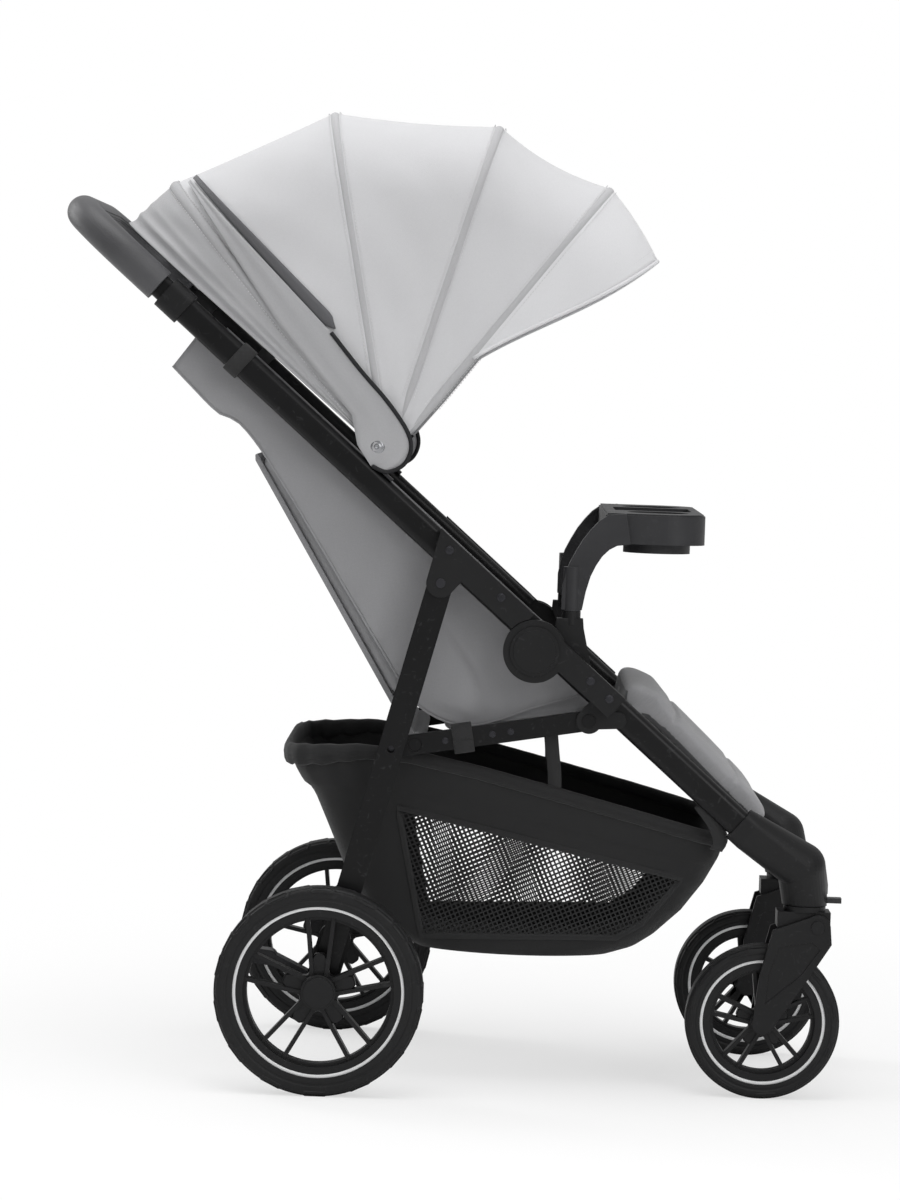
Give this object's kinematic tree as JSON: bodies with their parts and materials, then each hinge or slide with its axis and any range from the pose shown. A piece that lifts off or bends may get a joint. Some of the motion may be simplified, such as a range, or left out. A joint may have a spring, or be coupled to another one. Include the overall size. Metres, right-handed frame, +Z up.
{
  "type": "pushchair",
  "caption": "Folding four-wheel pushchair with an extendable hood, reclining seat, swing-away cup tray, leg rest, shopping basket and sprung swivel front wheels.",
  "frame": {"origin": "bottom centre of the bounding box, at ground level", "axes": "+X forward, +Y to the left of someone pushing, +Z up"},
  "size_m": [0.9506, 0.574, 1.1609],
  "materials": {
    "black_tube": "satin black powder coat",
    "black_plastic": "fine-grained black moulding",
    "dark_plastic": "fine-grained dark grey moulding",
    "rivet_steel": "blackened steel heads",
    "steel": "zinc-plated steel",
    "tyre": "matt black foam rubber",
    "rim": "satin black moulding",
    "grip": "dark grey grained imitation leather",
    "seat_fabric": "mid grey woven polyester",
    "hood_fabric": "light grey woven polyester",
    "dark_fabric": "black woven polyester and mesh",
    "webbing": "black woven webbing",
    "board": "grey covered board",
    "foot_grey": "light grey sleeve"
  },
  "bodies": {
    "front_frame": {"front_tubes": "black_tube", "front_covers": "black_plastic", "hub_caps": "black_plastic", "front_cross_tube": "black_tube", "knees": "black_plastic", "foot_bar": "foot_grey", "footboard": "dark_plastic", "front_rivets": "rivet_steel", "tray_sockets": "black_plastic"},
    "handle_frame": {"upper_tubes": "black_tube", "upper_covers": "black_plastic", "collars": "black_plastic", "tube_straps": "webbing", "canopy_mounts": "dark_plastic", "upper_rivets": "rivet_steel", "side_wings": "seat_fabric"},
    "handle": {"handle_tube": "black_tube", "handle_grip": "grip"},
    "rear_frame": {"rear_legs": "black_tube", "rear_axle": "steel", "axle_brackets": "black_plastic", "basket": "dark_fabric", "basket_straps": "webbing"},
    "brake": {"brake_pedal": "dark_plastic"},
    "rear_wheel_left": {"rear_tyre_left": "tyre", "rear_rim_left": "rim"},
    "rear_wheel_right": {"rear_tyre_right": "tyre", "rear_rim_right": "rim"},
    "seat": {"link_bars": "black_tube", "seat_tube": "black_tube", "link_rivets": "rivet_steel", "seat_pad": "seat_fabric", "crotch_strap": "webbing", "buckle": "black_plastic"},
    "recline_bar": {"hinge_tube": "black_tube"},
    "backrest": {"backrest_board": "board", "backrest_pad": "seat_fabric", "shoulder_straps": "webbing"},
    "canopy_1": {"canopy_rib_1": "black_plastic", "canopy_panel_1": "hood_fabric"},
    "canopy_2": {"canopy_rib_2": "black_plastic", "canopy_panel_2": "hood_fabric"},
    "canopy_3": {"canopy_rib_3": "black_plastic", "canopy_panel_3": "hood_fabric"},
    "canopy_4": {"canopy_rib_4": "black_plastic", "canopy_panel_4": "hood_fabric"},
    "tray": {"tray": "dark_plastic"},
    "leg_rest": {"leg_rest_rod": "black_tube", "leg_rest_pad": "seat_fabric"},
    "caster_left": {"swivel_left": "black_plastic"},
    "caster_right": {"swivel_right": "black_plastic"},
    "caster_lock_left": {"lock_lever_left": "dark_plastic"},
    "caster_lock_right": {"lock_lever_right": "dark_plastic"},
    "fork_left": {"fork_left": "black_plastic"},
    "fork_right": {"fork_right": "black_plastic"},
    "front_wheel_left": {"front_tyre_left": "tyre", "front_rim_left": "rim"},
    "front_wheel_right": {"front_tyre_right": "tyre", "front_rim_right": "rim"}
  },
  "joints": [
    {"name": "frame_fold", "type": "hinge", "parent": "front_frame", "child": "handle_frame", "pos_m": [0.09779, 0, 0.527], "axis": [0, 1, 0], "range_deg": [-150, 0], "deforming": ["side_wings", "basket", "basket_straps"]},
    {"name": "rear_leg_fold", "type": "hinge", "parent": "handle_frame", "child": "rear_frame", "pos_m": [-0.01473, 0, 0.60334], "axis": [0, 1, 0], "range_deg": [0, 96]},
    {"name": "link_fold", "type": "hinge", "parent": "front_frame", "child": "seat", "pos_m": [0.16477, 0, 0.44599], "axis": [0, 1, 0], "range_deg": [-106.5, 0]},
    {"name": "backrest_fold", "type": "hinge", "parent": "seat", "child": "recline_bar", "pos_m": [-0.03903, 0, 0.41081], "axis": [0, 1, 0], "range_deg": [-51, 0]},
    {"name": "recline", "type": "hinge", "parent": "recline_bar", "child": "backrest", "pos_m": [-0.03903, 0, 0.41081], "axis": [0, -1, 0], "range_deg": [-10, 38]},
    {"name": "handle_slide", "type": "slide", "parent": "handle_frame", "child": "handle", "axis": [-0.7547, 0, 0.6561], "range_m": [0, 0.07]},
    {"name": "rear_wheel_left_spin", "type": "hinge", "parent": "rear_frame", "child": "rear_wheel_left", "pos_m": [-0.14121, 0.265, 0.1225], "axis": [0, 1, 0], "continuous": true},
    {"name": "rear_wheel_right_spin", "type": "hinge", "parent": "rear_frame", "child": "rear_wheel_right", "pos_m": [-0.14121, -0.265, 0.1225], "axis": [0, 1, 0], "continuous": true},
    {"name": "brake_press", "type": "hinge", "parent": "rear_frame", "child": "brake", "pos_m": [-0.14121, -0.203, 0.1225], "axis": [0, -1, 0], "range_deg": [0, 18]},
    {"name": "canopy_1_fold", "type": "hinge", "parent": "handle_frame", "child": "canopy_1", "pos_m": [-0.08204, 0, 0.74692], "axis": [0, -1, 0], "range_deg": [0, 6.7]},
    {"name": "canopy_2_fold", "type": "hinge", "parent": "canopy_1", "child": "canopy_2", "pos_m": [-0.08204, 0, 0.74692], "axis": [0, -1, 0], "range_deg": [0, 26.8]},
    {"name": "canopy_3_fold", "type": "hinge", "parent": "canopy_2", "child": "canopy_3", "pos_m": [-0.08204, 0, 0.74692], "axis": [0, -1, 0], "range_deg": [0, 25.2]},
    {"name": "canopy_fold", "type": "hinge", "parent": "canopy_3", "child": "canopy_4", "pos_m": [-0.08204, 0, 0.74692], "axis": [0, -1, 0], "range_deg": [0, 18.6], "deforming": ["canopy_panel_1", "canopy_panel_2", "canopy_panel_3", "canopy_panel_4"]},
    {"name": "tray_swing", "type": "hinge", "parent": "front_frame", "child": "tray", "pos_m": [0.13979, -0.21, 0.574], "axis": [0, 0, -1], "range_deg": [0, 110]},
    {"name": "leg_rest_tilt", "type": "hinge", "parent": "front_frame", "child": "leg_rest", "pos_m": [0.20705, 0, 0.45454], "axis": [0, -1, 0], "range_deg": [0, 45]},
    {"name": "caster_left_swivel", "type": "hinge", "parent": "front_frame", "child": "caster_left", "pos_m": [0.42979, 0.169, 0.2325], "axis": [0, 0, 1], "continuous": true},
    {"name": "caster_left_lock", "type": "hinge", "parent": "front_frame", "child": "caster_lock_left", "pos_m": [0.45179, 0.169, 0.2385], "axis": [0, -1, 0], "range_deg": [0, 22]},
    {"name": "suspension_left", "type": "hinge", "parent": "caster_left", "child": "fork_left", "pos_m": [0.44479, 0.169, 0.208], "axis": [0, 1, 0], "range_deg": [0, 8], "stiffness_Nm_per_rad": 12, "springref_deg": -14.32},
    {"name": "front_wheel_left_spin", "type": "hinge", "parent": "fork_left", "child": "front_wheel_left", "pos_m": [0.38379, 0.169, 0.0915], "axis": [0, 1, 0], "continuous": true},
    {"name": "caster_right_swivel", "type": "hinge", "parent": "front_frame", "child": "caster_right", "pos_m": [0.42979, -0.169, 0.2325], "axis": [0, 0, -1], "continuous": true},
    {"name": "caster_right_lock", "type": "hinge", "parent": "front_frame", "child": "caster_lock_right", "pos_m": [0.45179, -0.169, 0.2385], "axis": [0, -1, 0], "range_deg": [0, 22]},
    {"name": "suspension_right", "type": "hinge", "parent": "caster_right", "child": "fork_right", "pos_m": [0.44479, -0.169, 0.208], "axis": [0, 1, 0], "range_deg": [0, 8], "stiffness_Nm_per_rad": 12, "springref_deg": -14.32},
    {"name": "front_wheel_right_spin", "type": "hinge", "parent": "fork_right", "child": "front_wheel_right", "pos_m": [0.38379, -0.169, 0.0915], "axis": [0, 1, 0], "continuous": true}
  ],
  "couplings": [
    {"joint": "rear_leg_fold", "follows": "frame_fold", "ratio": -0.64},
    {"joint": "link_fold", "follows": "frame_fold", "ratio": 0.71},
    {"joint": "backrest_fold", "follows": "frame_fold", "ratio": 0.34},
    {"joint": "canopy_1_fold", "follows": "canopy_fold", "ratio": 0.36022},
    {"joint": "canopy_2_fold", "follows": "canopy_fold", "ratio": 1.4409},
    {"joint": "canopy_3_fold", "follows": "canopy_fold", "ratio": 1.3548}
  ]
}
